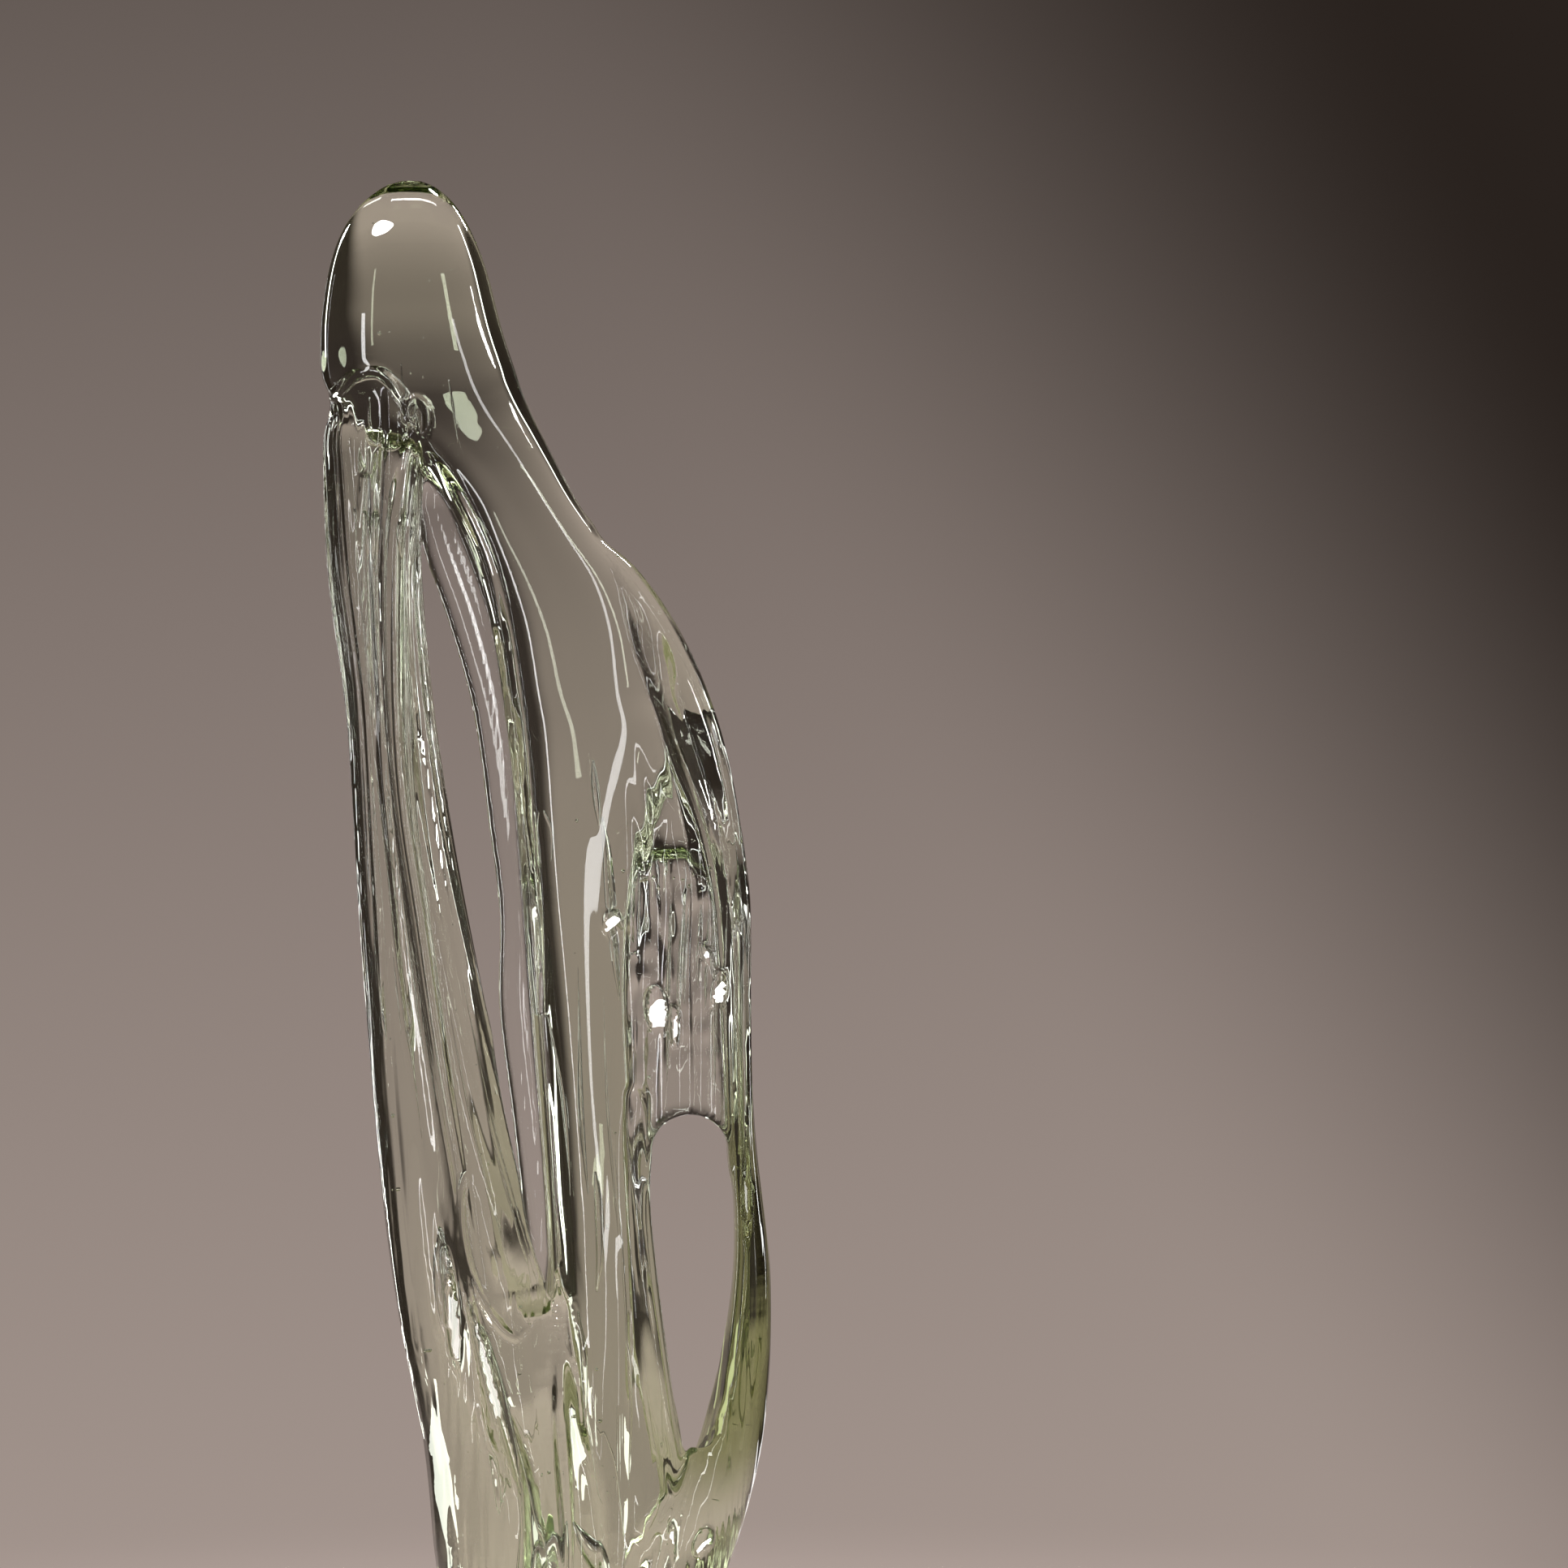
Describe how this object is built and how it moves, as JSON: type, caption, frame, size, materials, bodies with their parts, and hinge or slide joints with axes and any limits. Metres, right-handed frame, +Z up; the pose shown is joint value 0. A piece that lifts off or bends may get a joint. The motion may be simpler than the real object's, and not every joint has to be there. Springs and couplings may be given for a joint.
{
  "type": "glass sculpture",
  "caption": "Tall free-form sculpture of clear glass: leaning canes and a folded sheet rise from a round foot, join in a rounded hood and leave two slanting openings.",
  "frame": {"origin": "centre of the flat ground face under the foot", "axes": "+Z up the sculpture, front towards -Y, the hood leans towards -X"},
  "size_m": [0.12, 0.112, 0.43],
  "materials": {
    "clear_glass": "polished clear glass with a faint yellow-green tint, small bubbles and drawn streaks"
  },
  "bodies": {
    "root": {"foot": "clear_glass", "trunk_core": "clear_glass", "centre_sail": "clear_glass", "left_inner_cane": "clear_glass", "left_outer_cane": "clear_glass", "right_limb": "clear_glass", "shoulder_web": "clear_glass", "hood": "clear_glass", "crossing_knot": "clear_glass"}
  },
  "joints": []
}
